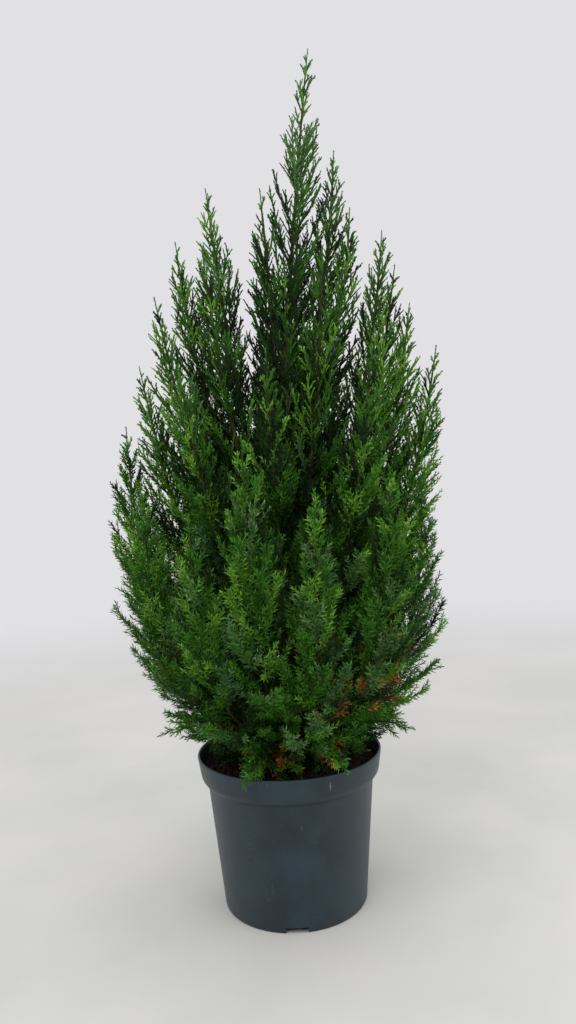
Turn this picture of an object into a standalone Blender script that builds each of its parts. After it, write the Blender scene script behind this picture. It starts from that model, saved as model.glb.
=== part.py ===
# Columnar juniper in a round nursery pot: pot, soil, trunk, boughs and the plumes of foliage.
# Metres, +Z up. The origin is the centre of the pot's flat underside, and -Y is the front.

import math
import random

import bmesh
import bpy
import numpy as np
from mathutils import Vector

# Pot, turned, with a deep rim band above a narrower body
POT_HEIGHT = 0.216
LIP_RADIUS = 0.131
BAND_FOOT_RADIUS = 0.1275
BAND_FOOT_HEIGHT = 0.190
SHOULDER_RADIUS = 0.118
SHOULDER_HEIGHT = 0.1755
FOOT_RADIUS = 0.102
WALL = 0.0025
FLOOR = 0.003
POT_STEPS = 42
NOTCHES = 3
NOTCH_SIZE = Vector((0.030, 0.030, 0.016))

# Clear distance between solids that touch
GAP = 0.0003

# Soil, a little below the lip and flat round the trunk
SOIL_TOP = 0.203
SOIL_EDGE = 0.199
SOIL_FLAT_RADIUS = 0.050

# Trunk, from its flat cut on the soil to where it turns into the green leader
TRUNK_TOP = 0.800
PLANT_TOP = 1.200
LEADER_LEAN = 0.075
TRUNK_FOOT_RADIUS = 0.0105
TRUNK_TOP_RADIUS = 0.0043
FLARE_RADIUS = 0.0060
FLARE_HEIGHT = 0.018
TRUNK_RINGS = 13

# Boughs and the stems inside the plumes
STEM_TIP_RADIUS = 0.0010
JOINT_STRETCH = 0.008

# Foliage: how a plume widens below its tip, and its sprays
CORE_SHARE = 0.28
CORE_STEP = 0.060
SPRAY_ANGLE_TOP = math.radians(19)
SPRAY_ANGLE_LOW = math.radians(33)
SPRAY_FATNESS = 0.12
SPRAY_RADIUS_LEAST = 0.0028
SPRAY_RADIUS_MOST = 0.0110
SPRAY_BELLY = 0.55
SPACING_LEAST = 0.0108
SIDE_SPRAYS = ((0.40, 1), (0.52, -1))
SIDE_ANGLE = math.radians(30)
SIDE_LENGTH = 0.58
FORKED_FROM = 0.062
GOLDEN_ANGLE = math.radians(137.5)
CELL_MARGIN = 0.0009
SEED = 11

# Rings of plumes. Each plume: azimuth in degrees from +X, reach and height of its tip.
# Each ring: height of its roots on the trunk, rise of its limbs and how far out they bend up,
# width of its foliage and how fast it widens below the tip, share of the limb that is a bare
# bough, lean of the tips, spacing of the sprays as a share of their reach, radius of the limbs
# at the trunk, if the roots alternate between two heights (else the widest root lowest), plumes.
RINGS = {
    "crown": {
        "roots": (0.535, 0.665), "rise": 77, "bend": 0.45, "width": 0.054, "widening": 0.20,
        "bough": 0.0, "lean": 0.08, "spacing": 0.52, "stem": 0.0050, "alternate": False,
        "plumes": [(11, 0.108, 1.066), (265, 0.020, 1.002), (-14, 0.124, 0.968), (50, 0.078, 0.985)],
    },
    "inner": {
        "roots": (0.420, 0.515), "rise": 50, "bend": 0.46, "width": 0.062, "widening": 0.19,
        "bough": 0.11, "lean": 0.10, "spacing": 0.63, "stem": 0.0056, "alternate": False,
        "plumes": [(160, 0.086, 1.025), (171, 0.129, 0.949), (216, 0.102, 0.915), (292, 0.074, 0.875),
                   (-53, 0.126, 0.892), (19, 0.185, 0.963), (92, 0.098, 0.945)],
    },
    "outer": {
        "roots": (0.256, 0.400), "rise": 34, "bend": 0.58, "width": 0.060, "widening": 0.20,
        "bough": 0.13, "lean": 0.18, "spacing": 0.66, "stem": 0.0050, "alternate": False,
        "plumes": [(202, 0.161, 0.851), (168, 0.197, 0.777), (24, 0.238, 0.862), (-2, 0.235, 0.777),
                   (-19, 0.184, 0.878), (-91, 0.150, 0.760), (230, 0.176, 0.745), (-46, 0.188, 0.762),
                   (57, 0.192, 0.805), (95, 0.182, 0.770), (133, 0.190, 0.815)],
    },
    "low": {
        "roots": (0.226, 0.241), "rise": 14, "bend": 0.84, "width": 0.050, "widening": 0.22,
        "bough": 0.0, "lean": 0.02, "spacing": 0.66, "stem": 0.0035, "alternate": True,
        "plumes": [(181, 0.208, 0.685), (212, 0.204, 0.600), (237, 0.196, 0.560), (258, 0.176, 0.655),
                   (285, 0.184, 0.585), (316, 0.200, 0.610), (350, 0.204, 0.590), (36, 0.202, 0.600),
                   (84, 0.196, 0.560), (136, 0.202, 0.590)],
    },
    "skirt": {
        "roots": (0.210, 0.214), "rise": 27, "bend": 0.55, "width": 0.046, "widening": 0.36,
        "bough": 0.0, "lean": 0.0, "spacing": 0.55, "stem": 0.0030, "alternate": True,
        "plumes": [(249, 0.160, 0.216), (297, 0.162, 0.228), (353, 0.178, 0.240), (56, 0.176, 0.236),
                   (118, 0.178, 0.240), (188, 0.182, 0.250)],
    },
}

POT_COLOUR = (0.052, 0.078, 0.098)
SOIL_COLOUR = (0.010, 0.006, 0.004)
BARK_COLOUR = (0.120, 0.048, 0.024)
FOLIAGE_COLOURS = {
    "crown": (0.060, 0.180, 0.060), "inner": (0.050, 0.160, 0.050), "outer": (0.045, 0.150, 0.045),
    "low": (0.036, 0.120, 0.045), "skirt": (0.034, 0.110, 0.046),
}


def clearScene():
    for ob in list(bpy.data.objects):
        bpy.data.objects.remove(ob, do_unlink=True)


def newCollection(name):
    collection = bpy.data.collections.new(name)
    bpy.context.scene.collection.children.link(collection)
    return collection


def material(name, colour, roughness):
    mat = bpy.data.materials.new(name)
    mat.use_nodes = True
    shader = mat.node_tree.nodes["Principled BSDF"]
    shader.inputs["Base Color"].default_value = (*colour, 1)
    shader.inputs["Roughness"].default_value = roughness
    return mat


def addObject(name, mesh, collection, mat=None):
    ob = bpy.data.objects.new(name, mesh)
    collection.objects.link(ob)
    if mat:
        mesh.materials.clear()
        mesh.materials.append(mat)
    return ob


def evaluatedMesh(ob):
    bpy.context.view_layer.update()
    graph = bpy.context.evaluated_depsgraph_get()
    return bpy.data.meshes.new_from_object(ob.evaluated_get(graph))


# Turned pieces

def turned(name, profile, collection, mat):
    mesh = bpy.data.meshes.new(name)
    mesh.from_pydata([(r, 0, z) for r, z in profile],
                     [(k, k + 1) for k in range(len(profile) - 1)], [])
    ob = addObject(name, mesh, collection, mat)
    screw = ob.modifiers.new("turn", "SCREW")
    screw.steps = screw.render_steps = POT_STEPS
    screw.use_merge_vertices = True
    screw.merge_threshold = 0.00001
    screw.use_smooth_shade = False
    return ob


def innerWall(clear=0.0):
    """Radius and height of the pot's inner wall, from the floor up, pulled in by a clear distance."""
    inset = WALL + clear
    return [
        (FOOT_RADIUS - inset - 0.001, FLOOR + clear),
        (SHOULDER_RADIUS - inset, SHOULDER_HEIGHT + WALL),
        (BAND_FOOT_RADIUS - inset, BAND_FOOT_HEIGHT + WALL),
    ]


def makePot(parts, cutters, mat):
    lip = POT_HEIGHT
    profile = [(0, FLOOR)] + innerWall() + [
        (LIP_RADIUS - WALL - 0.0008, lip - 0.0022),
        (LIP_RADIUS - WALL + 0.0003, lip),
        (LIP_RADIUS - 0.0006, lip),
        (LIP_RADIUS, lip - 0.0012),
        (LIP_RADIUS - 0.0004, lip - 0.0060),
        (BAND_FOOT_RADIUS, BAND_FOOT_HEIGHT),
        (BAND_FOOT_RADIUS - 0.0022, BAND_FOOT_HEIGHT - 0.0065),
        (SHOULDER_RADIUS + 0.0018, SHOULDER_HEIGHT + 0.0020),
        (SHOULDER_RADIUS, SHOULDER_HEIGHT),
        (FOOT_RADIUS, 0.003),
        (FOOT_RADIUS - 0.0025, 0),
        (0, 0),
    ]
    pot = turned("pot", profile, parts, mat)
    for k in range(NOTCHES):
        turn = math.tau * k / NOTCHES - math.pi / 2
        bm = bmesh.new()
        bmesh.ops.create_cube(bm, size=1)
        bmesh.ops.scale(bm, vec=NOTCH_SIZE, verts=bm.verts)
        mesh = bpy.data.meshes.new(f"notch_{k + 1}")
        bm.to_mesh(mesh)
        bm.free()
        cutter = addObject(mesh.name, mesh, cutters)
        cutter.location = (math.cos(turn) * (FOOT_RADIUS + 0.004), math.sin(turn) * (FOOT_RADIUS + 0.004), 0)
        cutter.rotation_euler.z = turn + math.pi / 2
        cutter.hide_render = True
        cutter.display_type = "WIRE"
        cut = pot.modifiers.new(mesh.name, "BOOLEAN")
        cut.operation = "DIFFERENCE"
        cut.object = cutter
    return pot


def makeSoil(parts, mat):
    side = innerWall(0.0006)
    profile = [
        (0, SOIL_TOP), (SOIL_FLAT_RADIUS, SOIL_TOP), (side[2][0] - 0.004, SOIL_EDGE),
        (side[2][0], SOIL_EDGE - 0.003), side[2], side[1], side[0], (0, side[0][1]),
    ]
    return turned("soil", profile, parts, mat)


# Limbs

def trunkAxis(z):
    """Centre of the trunk and leader at a height. It leans to the right more and more."""
    climb = max(0.0, (z - SOIL_TOP) / (PLANT_TOP - SOIL_TOP))
    sway = 0.004 * math.sin(climb * 9.0)
    return Vector((LEADER_LEAN * climb ** 2 + sway * (1 - climb), sway, z))


def trunkRadius(z):
    climb = (z - SOIL_TOP) / (TRUNK_TOP - SOIL_TOP)
    straight = TRUNK_FOOT_RADIUS + (TRUNK_TOP_RADIUS - TRUNK_FOOT_RADIUS) * climb ** 0.9
    return straight + FLARE_RADIUS * math.exp(-(z - SOIL_TOP) / FLARE_HEIGHT)


def limb(name, points, radii, sides, collection, mat=None):
    """A tapering limb: a curve with a round bevel, made a mesh with its end caps welded on."""
    curve = bpy.data.curves.new(name, "CURVE")
    curve.dimensions = "3D"
    curve.bevel_depth = 1.0
    curve.bevel_resolution = (sides - 4) // 2
    curve.use_fill_caps = True
    spline = curve.splines.new("POLY")
    spline.points.add(len(points) - 1)
    for place, co, radius in zip(spline.points, points, radii):
        place.co = (*co, 1)
        place.radius = radius
    guide = addObject(name + "_line", curve, collection)
    mesh = evaluatedMesh(guide)
    mesh.name = name
    bm = bmesh.new()
    bm.from_mesh(mesh)
    bmesh.ops.remove_doubles(bm, verts=bm.verts, dist=0.00001)
    bm.to_mesh(mesh)
    bm.free()
    ob = addObject(name, mesh, collection, mat)
    ob.matrix_world = guide.matrix_world.copy()
    bpy.data.objects.remove(guide)
    bpy.data.curves.remove(curve)
    return ob


def trunkLine():
    low, high = SOIL_TOP + GAP, TRUNK_TOP
    steps = [0.0, 0.008, 0.020, 0.045]
    rest = TRUNK_RINGS - len(steps)
    heights = [low + s for s in steps]
    heights += [heights[-1] + (high - heights[-1]) * (k + 1) / rest for k in range(rest)]
    points = [trunkAxis(z) for z in heights]
    points[0].x, points[0].y = points[1].x, points[1].y
    return points, [trunkRadius(z) for z in heights]


def bezier(p0, p1, p2, p3, t):
    s = 1 - t
    return p0 * s ** 3 + p1 * (3 * s * s * t) + p2 * (3 * s * t * t) + p3 * t ** 3


def along(points):
    """A function that gives the point at a length along a fine line, and the line's whole length."""
    lengths = np.concatenate([[0], np.cumsum([(b - a).length for a, b in zip(points, points[1:])])])

    def at(length):
        k = int(np.clip(np.searchsorted(lengths, length) - 1, 0, len(points) - 2))
        share = (length - lengths[k]) / (lengths[k + 1] - lengths[k])
        return points[k].lerp(points[k + 1], share)

    return at, lengths[-1]


class Plume:
    """One mass of foliage: its line from the trunk to its tip, its bough and its width."""

    def __init__(self, ring, number, azimuth, reach, height, root):
        size = RINGS[ring]
        self.ring = ring
        self.name = f"{ring}_plume_{number}"
        self.boughName = f"{ring}_bough_{number}" if size["bough"] else None
        self.size = size
        turn = math.radians(azimuth)
        out = Vector((math.cos(turn), math.sin(turn), 0))
        base = trunkAxis(root)
        tip = Vector((out.x * reach, out.y * reach, height))
        if ring == "crown":
            out = (tip - base).to_2d().to_3d().normalized()
        span = (tip - base).to_2d().length
        rise = math.radians(size["rise"])
        lean = size["lean"]
        first = base + out * (span * size["bend"]) + Vector((0, 0, span * size["bend"] * math.tan(rise)))
        drop = min(0.55 * (height - root), 0.22) if height - root > 0.1 else -0.020
        second = tip - Vector((0, 0, drop)) - out * (lean * drop if drop > 0 else span * 0.3)
        self.line = [bezier(base, first, second, tip, k / 120) for k in range(121)]
        self.at, self.length = along(self.line)
        self.foot = self.length * size["bough"]

    def direction(self, length):
        ahead = self.at(min(length + 0.002, self.length))
        behind = self.at(max(length - 0.002, 0))
        return (ahead - behind).normalized()

    def stemRadius(self, length):
        share = min(1.0, length / self.length)
        return self.size["stem"] * (1 - share) ** 0.8 + STEM_TIP_RADIUS * share

    def reachAt(self, length):
        """How far the foliage reaches from the stem, by how far it is below the tip."""
        below = self.length - length
        swell = min(1.0, 0.45 + (length - self.foot) / 0.09)
        return min(self.size["width"], 0.004 + self.size["widening"] * below) * swell


class Leader(Plume):
    """The topmost plume, which carries the trunk's line on to the top."""

    def __init__(self):
        self.ring = "crown"
        self.name = "leader_plume"
        self.boughName = None
        self.size = RINGS["crown"]
        foot = TRUNK_TOP + GAP
        self.line = [trunkAxis(foot + (PLANT_TOP - foot) * k / 40) for k in range(41)]
        self.at, self.length = along(self.line)
        self.foot = 0.0

    def stemRadius(self, length):
        share = length / self.length
        return TRUNK_TOP_RADIUS + (STEM_TIP_RADIUS - TRUNK_TOP_RADIUS) * share

    def reachAt(self, length):
        return min(self.size["width"], 0.003 + self.size["widening"] * (self.length - length))


def allPlumes():
    plumes = [Leader()]
    for ring, size in RINGS.items():
        low, high = size["roots"]
        spread = sorted((plume[1] for plume in size["plumes"]), reverse=True)
        for k, (azimuth, reach, height) in enumerate(size["plumes"]):
            share = k % 2 if size["alternate"] else spread.index(reach) / (len(spread) - 1)
            plumes.append(Plume(ring, k + 1, azimuth, reach, height, low + (high - low) * share))
    return plumes


class Space:
    """Which space is whose: each plume's own cell, and the limbs that nothing may touch."""

    def __init__(self, plumes):
        self.lines = {}
        for p in plumes:
            count = max(2, int((p.length - p.foot) / 0.004))
            self.lines[p.name] = np.array([p.at(p.foot + (p.length - p.foot) * k / count)
                                           for k in range(count + 1)])
        limbs, radii = [], []
        for p in plumes:
            if p.boughName:
                for k in range(int(p.foot / 0.004) + 1):
                    length = min(k * 0.004, p.foot)
                    limbs.append(p.at(length))
                    radii.append(p.stemRadius(length))
        for k in range(int((TRUNK_TOP - SOIL_TOP) / 0.004) + 1):
            z = SOIL_TOP + k * 0.004
            limbs.append(trunkAxis(z))
            radii.append(trunkRadius(z))
        self.limbs = np.array(limbs)
        self.radii = np.array(radii)

    def room(self, plume, point):
        """Radius of the ball round a point that stays in the plume's cell and clear of the limbs."""
        spot = np.array(point)
        own = np.linalg.norm(self.lines[plume.name] - spot, axis=1).min()
        other = min(np.linalg.norm(line - spot, axis=1).min()
                    for name, line in self.lines.items() if name != plume.name)
        limb = (np.linalg.norm(self.limbs - spot, axis=1) - self.radii).min()
        return min((other - own) / 2, limb) - CELL_MARGIN


# Foliage

def spindleMesh(name):
    """A spray of needles as a spindle of six faces, one long along +Z, widest near its root."""
    bm = bmesh.new()
    bmesh.ops.create_uvsphere(bm, u_segments=3, v_segments=2, radius=1)
    for v in bm.verts:
        ring = abs(v.co.z) < 0.5
        v.co = Vector((v.co.x, v.co.y, SPRAY_BELLY)) if ring else Vector((0, 0, 0 if v.co.z < 0 else 1))
    mesh = bpy.data.meshes.new(name)
    bm.to_mesh(mesh)
    bm.free()
    return mesh


def addSpray(pieces, root, direction, length, radius):
    mesh = spindleMesh("spray")
    turn = direction.to_track_quat("Z", "Y").to_matrix()
    for v in mesh.vertices:
        v.co = root + turn @ Vector((v.co.x * radius, v.co.y * radius, v.co.z * length))
    addObject("spray", mesh, pieces)


def sprayFits(space, plume, root, direction, length, radius):
    for share in (0.25, 0.4, SPRAY_BELLY, 0.7, 0.85, 1.0):
        thick = share / SPRAY_BELLY if share < SPRAY_BELLY else (1 - share) / (1 - SPRAY_BELLY)
        if space.room(plume, root + direction * (length * share)) < radius * thick:
            return False
    return True


def addSideSprays(plume, space, pieces, root, direction, across, length, radius):
    """Smaller sprays that leave a longer one to both sides."""
    count = 0
    side = direction.cross(across).normalized()
    for place, way in SIDE_SPRAYS:
        start = root + direction * (length * place)
        ahead = direction * math.cos(SIDE_ANGLE) + side * (way * math.sin(SIDE_ANGLE))
        small = radius * 0.8
        if sprayFits(space, plume, start, ahead, length * SIDE_LENGTH, small):
            addSpray(pieces, start, ahead, length * SIDE_LENGTH, small)
            count += 1
    return count


def growSprays(plume, space, pieces, rng):
    """Sprays set round the stem by the golden angle, from the tip down, each kept to its space."""
    count = 0
    turn = rng.uniform(0, math.tau)
    tipPlace = plume.length - 0.012
    while tipPlace > plume.foot + 0.035:
        reach = plume.reachAt(tipPlace)
        depth = min(1.0, (plume.length - tipPlace) / 0.35)
        angle = SPRAY_ANGLE_TOP + (SPRAY_ANGLE_LOW - SPRAY_ANGLE_TOP) * depth
        angle *= rng.uniform(0.88, 1.12)
        reach *= rng.uniform(0.86, 1.06)
        for keep in (1.0, 0.8, 0.62, 0.48):
            length = reach * keep / math.sin(angle)
            rootPlace = tipPlace - length * math.cos(angle)
            if rootPlace < plume.foot + 0.014 or length < 0.012:
                continue
            axis = plume.direction(rootPlace)
            side = axis.orthogonal().normalized()
            across = side * math.cos(turn) + axis.cross(side) * math.sin(turn)
            direction = axis * math.cos(angle) + across * math.sin(angle)
            radius = min(max(length * SPRAY_FATNESS, SPRAY_RADIUS_LEAST), SPRAY_RADIUS_MOST)
            root = plume.at(rootPlace)
            if sprayFits(space, plume, root, direction, length, radius):
                addSpray(pieces, root, direction, length, radius)
                count += 1
                if length > FORKED_FROM:
                    count += addSideSprays(plume, space, pieces, root, direction, across, length, radius)
                break
        turn += GOLDEN_ANGLE * rng.uniform(0.95, 1.05)
        tipPlace -= (SPACING_LEAST + plume.size["spacing"] * plume.reachAt(tipPlace)) * rng.uniform(0.9, 1.1)
    return count


def coreLine(plume, space):
    """Points and radii of the stem, which swells into the core where the plume is dense."""
    start = plume.foot + (GAP / 2 if plume.boughName else 0)
    lengths = [start, start + JOINT_STRETCH]
    count = max(2, round((plume.length - lengths[-1]) / CORE_STEP))
    lengths += [lengths[-1] + (plume.length - lengths[-1]) * (k + 1) / count for k in range(count)]
    points, radii = [], []
    for k, length in enumerate(lengths):
        point = plume.at(length)
        stem = plume.stemRadius(length)
        if k < 2 or length == plume.length:
            radius = stem
        else:
            radius = max(stem * 0.7, min(CORE_SHARE * plume.reachAt(length), space.room(plume, point)))
        points.append(point)
        radii.append(radius)
    return points, radii


def applyBoolean(ob, operation, solver, **operand):
    cut = ob.modifiers.new("join", "BOOLEAN")
    cut.operation = operation
    cut.solver = solver
    for key, value in operand.items():
        setattr(cut, key, value)
    mesh = evaluatedMesh(ob)
    ob.modifiers.clear()
    ob.data = mesh


def keepBody(ob):
    """Drops loose scraps, and the shell of any hollow that the joining has sealed."""
    bm = bmesh.new()
    bm.from_mesh(ob.data)
    bmesh.ops.remove_doubles(bm, verts=bm.verts, dist=0.0000002)
    bmesh.ops.triangulate(bm, faces=bm.faces)
    seen, groups = set(), []
    for face in bm.faces:
        if face in seen:
            continue
        group, queue = [], [face]
        seen.add(face)
        while queue:
            f = queue.pop()
            group.append(f)
            for edge in f.edges:
                for g in edge.link_faces:
                    if g not in seen:
                        seen.add(g)
                        queue.append(g)
        groups.append(group)
    groups.sort(key=len, reverse=True)
    for group in groups[1:]:
        bmesh.ops.delete(bm, geom=group, context="FACES")
    closed = all(len(edge.link_faces) == 2 for edge in bm.edges)
    bm.to_mesh(ob.data)
    bm.free()
    return closed


def makePlume(plume, space, parts, cutter, mat):
    """Stem, core and sprays joined. Where the joined mesh isn't closed, it is grown anew."""
    for attempt, solver in enumerate(("EXACT", "MANIFOLD", "EXACT", "MANIFOLD")):
        rng = random.Random(f"{SEED} {plume.name} {attempt // 2}")
        points, radii = coreLine(plume, space)
        ob = limb(plume.name, points, radii, 4, parts, mat)
        pieces = newCollection("pieces")
        count = growSprays(plume, space, pieces, rng)
        applyBoolean(ob, "UNION", solver, operand_type="COLLECTION", collection=pieces)
        for piece in list(pieces.objects):
            bpy.data.objects.remove(piece)
        bpy.data.collections.remove(pieces)
        if not plume.boughName and plume.name != "leader_plume":
            applyBoolean(ob, "DIFFERENCE", solver, object=cutter)
        if keepBody(ob):
            break
        print(plume.name, "is grown again after", solver)
        bpy.data.objects.remove(ob)
    ob.data.name = plume.name
    return count


def makeBough(plume, parts, cutter, mat):
    end = plume.foot - GAP / 2
    lengths = [0, end / 2, end - JOINT_STRETCH, end]
    ob = limb(plume.boughName, [plume.at(s) for s in lengths],
              [plume.stemRadius(s) for s in lengths], 6, parts, mat)
    applyBoolean(ob, "DIFFERENCE", "EXACT", object=cutter)
    keepBody(ob)


def build():
    clearScene()
    parts = newCollection("potted juniper")
    cutters = newCollection("cutters")
    makePot(parts, cutters, material("pot_plastic", POT_COLOUR, 0.42))
    makeSoil(parts, material("peat", SOIL_COLOUR, 0.95))
    bark = material("bark", BARK_COLOUR, 0.85)
    points, radii = trunkLine()
    limb("trunk", points, radii, 8, parts, bark)
    cutter = limb("trunk_space", points, [r + GAP for r in radii], 8, cutters)
    cutter.hide_render = True
    cutter.display_type = "WIRE"
    plumes = allPlumes()
    space = Space(plumes)
    greens = {ring: material(f"{ring}_foliage", colour, 0.6) for ring, colour in FOLIAGE_COLOURS.items()}
    sprays = 0
    for plume in plumes:
        if plume.boughName:
            makeBough(plume, parts, cutter, bark)
        sprays += makePlume(plume, space, parts, cutter, greens[plume.ring])
    print("plumes", len(plumes), "sprays", sprays)


build()
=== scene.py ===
import math
import random

import bpy
import numpy as np
from mathutils import Matrix, Vector


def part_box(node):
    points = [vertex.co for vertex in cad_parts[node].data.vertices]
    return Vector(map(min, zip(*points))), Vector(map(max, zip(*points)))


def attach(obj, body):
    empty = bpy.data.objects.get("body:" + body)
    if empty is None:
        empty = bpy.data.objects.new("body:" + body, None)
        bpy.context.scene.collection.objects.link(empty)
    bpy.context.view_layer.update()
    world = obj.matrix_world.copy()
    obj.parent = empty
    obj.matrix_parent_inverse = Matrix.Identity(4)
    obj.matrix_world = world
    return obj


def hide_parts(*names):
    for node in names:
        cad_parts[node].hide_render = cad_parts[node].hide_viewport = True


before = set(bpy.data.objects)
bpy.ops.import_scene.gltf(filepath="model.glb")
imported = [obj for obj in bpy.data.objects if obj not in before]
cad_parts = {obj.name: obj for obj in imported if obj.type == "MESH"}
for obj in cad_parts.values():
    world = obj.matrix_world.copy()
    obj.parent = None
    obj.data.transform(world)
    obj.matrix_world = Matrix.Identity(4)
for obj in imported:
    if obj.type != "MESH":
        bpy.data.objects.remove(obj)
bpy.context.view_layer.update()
scene = bpy.context.scene
scene.view_settings.view_transform = "Standard"


# helpers

goldenAngle = math.radians(137.5)     # turn from one shoot or needle to the next


def clearSelection():
    for ob in bpy.context.selected_objects:
        ob.select_set(False)


def selectOnly(ob):
    clearSelection()
    ob.select_set(True)
    bpy.context.view_layer.objects.active = ob


def linear(hexColour):
    # sRGB hex to the linear colour that shaders take
    out = []
    for k in (1, 3, 5):
        v = int(hexColour[k:k + 2], 16) / 255
        out.append(v / 12.92 if v <= 0.04045 else ((v + 0.055) / 1.055) ** 2.4)
    return (*out, 1.0)


def addNode(mat, kind, settings=None, links=None, values=None):
    # one node with its settings, its incoming links and its input values
    node = mat.node_tree.nodes.new(kind)
    for key, value in (settings or {}).items():
        setattr(node, key, value)
    for key, value in (values or {}).items():
        node.inputs[key].default_value = value
    for key, socket in (links or {}).items():
        mat.node_tree.links.new(socket, node.inputs[key])
    return node


def newMaterial(name, roughness, specular=0.5):
    mat = bpy.data.materials.new(name)
    mat.use_nodes = True
    shader = mat.node_tree.nodes["Principled BSDF"]
    shader.inputs["Roughness"].default_value = roughness
    shader.inputs["Specular IOR Level"].default_value = specular
    place = addNode(mat, "ShaderNodeTexCoord").outputs["Object"]
    return mat, shader, place


def perMetre(sizeMm):
    # noise scale for a pattern of that size, on coordinates in metres
    return 1000 / sizeMm


def twoTone(mat, place, sizeMm, low, high, detail, start=0.35, end=0.65):
    # noise between two colours, and the noise itself
    noise = addNode(mat, "ShaderNodeTexNoise", links={"Vector": place},
                    values={"Scale": perMetre(sizeMm), "Detail": detail})
    ramp = addNode(mat, "ShaderNodeValToRGB", links={"Fac": noise.outputs["Fac"]})
    ramp.color_ramp.elements[0].color = linear(low)
    ramp.color_ramp.elements[1].color = linear(high)
    ramp.color_ramp.elements[0].position = start
    ramp.color_ramp.elements[1].position = end
    return ramp.outputs["Color"], noise.outputs["Fac"]


def addBump(mat, shader, height, strength, distanceMm):
    bump = addNode(mat, "ShaderNodeBump", links={"Height": height},
                   values={"Strength": strength, "Distance": distanceMm / 1000})
    mat.node_tree.links.new(bump.outputs["Normal"], shader.inputs["Normal"])


def meshPiece(name, verts, faces, mat, smooth=False):
    # a new object of triangles, from arrays of points and of corners
    mesh = bpy.data.meshes.new(name)
    mesh.vertices.add(len(verts))
    mesh.vertices.foreach_set("co", verts.astype(np.float32).ravel())
    mesh.loops.add(faces.size)
    mesh.loops.foreach_set("vertex_index", faces.astype(np.int32).ravel())
    mesh.polygons.add(len(faces))
    mesh.polygons.foreach_set("loop_start", np.arange(0, faces.size, 3, dtype=np.int32))
    mesh.update(calc_edges=True)
    mesh.validate()
    if smooth:
        mesh.shade_smooth()
    ob = bpy.data.objects.new(name, mesh)
    scene.collection.objects.link(ob)
    mesh.materials.append(mat)
    return ob


def unit(v):
    return v / max(float(np.linalg.norm(v)), 1e-9)


def smoothStep(x, low, high):
    t = min(1.0, max(0.0, (x - low) / (high - low)))
    return t * t * (3 - 2 * t)


# plant: the rule that the solids grow by, carried to finer twigs. Metres and degrees

plant = {
    "soilTop": 0.203, "trunkTop": 0.800, "top": 1.200,
    "lean": 0.075, "sway": 0.004, "swayTurn": 9.0,
    "footRadius": 0.0105, "topRadius": 0.0043, "taper": 0.9, "flare": 0.0060, "flareHeight": 0.018,
    "stemTip": 0.0010, "stemTaper": 0.8,
    # a plume that rises more than this ends upright, over a share of its rise up to a limit
    "shortRise": 0.1, "uprightShare": 0.55, "uprightMost": 0.22,
    # a shorter one hangs over at its tip
    "droop": 0.020, "droopBack": 0.3,
    # how far shoots reach at a plume's tip, and how that swells from its foot
    "tipReach": 0.004, "leaderTipReach": 0.003, "swellStart": 0.45, "swellLength": 0.09,
    "lineSteps": 121, "leaderSteps": 41,
}

# plumes: azimuth in degrees from +X, reach and height of the tip
rings = {
    "crown": {
        "roots": (0.535, 0.665), "rise": 77, "bend": 0.45, "width": 0.054, "widening": 0.20,
        "bough": 0.0, "lean": 0.08, "stem": 0.0050, "alternate": False,
        "plumes": [(11, 0.108, 1.066), (265, 0.020, 1.002), (-14, 0.124, 0.968), (50, 0.078, 0.985)],
    },
    "inner": {
        "roots": (0.420, 0.515), "rise": 50, "bend": 0.46, "width": 0.062, "widening": 0.19,
        "bough": 0.11, "lean": 0.10, "stem": 0.0056, "alternate": False,
        "plumes": [(160, 0.086, 1.025), (171, 0.129, 0.949), (216, 0.102, 0.915), (292, 0.074, 0.875),
                   (-53, 0.126, 0.892), (19, 0.185, 0.963), (92, 0.098, 0.945)],
    },
    "outer": {
        "roots": (0.256, 0.400), "rise": 34, "bend": 0.58, "width": 0.060, "widening": 0.20,
        "bough": 0.13, "lean": 0.18, "stem": 0.0050, "alternate": False,
        "plumes": [(202, 0.161, 0.851), (168, 0.197, 0.777), (24, 0.238, 0.862), (-2, 0.235, 0.777),
                   (-19, 0.184, 0.878), (-91, 0.150, 0.760), (230, 0.176, 0.745), (-46, 0.188, 0.762),
                   (57, 0.192, 0.805), (95, 0.182, 0.770), (133, 0.190, 0.815)],
    },
    "low": {
        "roots": (0.226, 0.241), "rise": 14, "bend": 0.84, "width": 0.050, "widening": 0.22,
        "bough": 0.0, "lean": 0.02, "stem": 0.0035, "alternate": True,
        "plumes": [(181, 0.208, 0.685), (212, 0.204, 0.600), (237, 0.196, 0.560), (258, 0.176, 0.655),
                   (285, 0.184, 0.585), (316, 0.200, 0.610), (350, 0.204, 0.590), (36, 0.202, 0.600),
                   (84, 0.196, 0.560), (136, 0.202, 0.590)],
    },
    "skirt": {
        "roots": (0.210, 0.214), "rise": 27, "bend": 0.55, "width": 0.046, "widening": 0.36,
        "bough": 0.0, "lean": 0.0, "stem": 0.0030, "alternate": True,
        "plumes": [(249, 0.160, 0.216), (297, 0.162, 0.228), (353, 0.178, 0.240), (56, 0.176, 0.236),
                   (118, 0.178, 0.240), (188, 0.182, 0.250)],
    },
}


def trunkAxis(z):
    climb = max(0.0, (z - plant["soilTop"]) / (plant["top"] - plant["soilTop"]))
    sway = plant["sway"] * math.sin(climb * plant["swayTurn"])
    return np.array([plant["lean"] * climb ** 2 + sway * (1 - climb), sway, z])


def trunkRadius(z):
    climb = (z - plant["soilTop"]) / (plant["trunkTop"] - plant["soilTop"])
    straight = plant["footRadius"] + (plant["topRadius"] - plant["footRadius"]) * climb ** plant["taper"]
    return straight + plant["flare"] * math.exp(-(z - plant["soilTop"]) / plant["flareHeight"])


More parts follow.
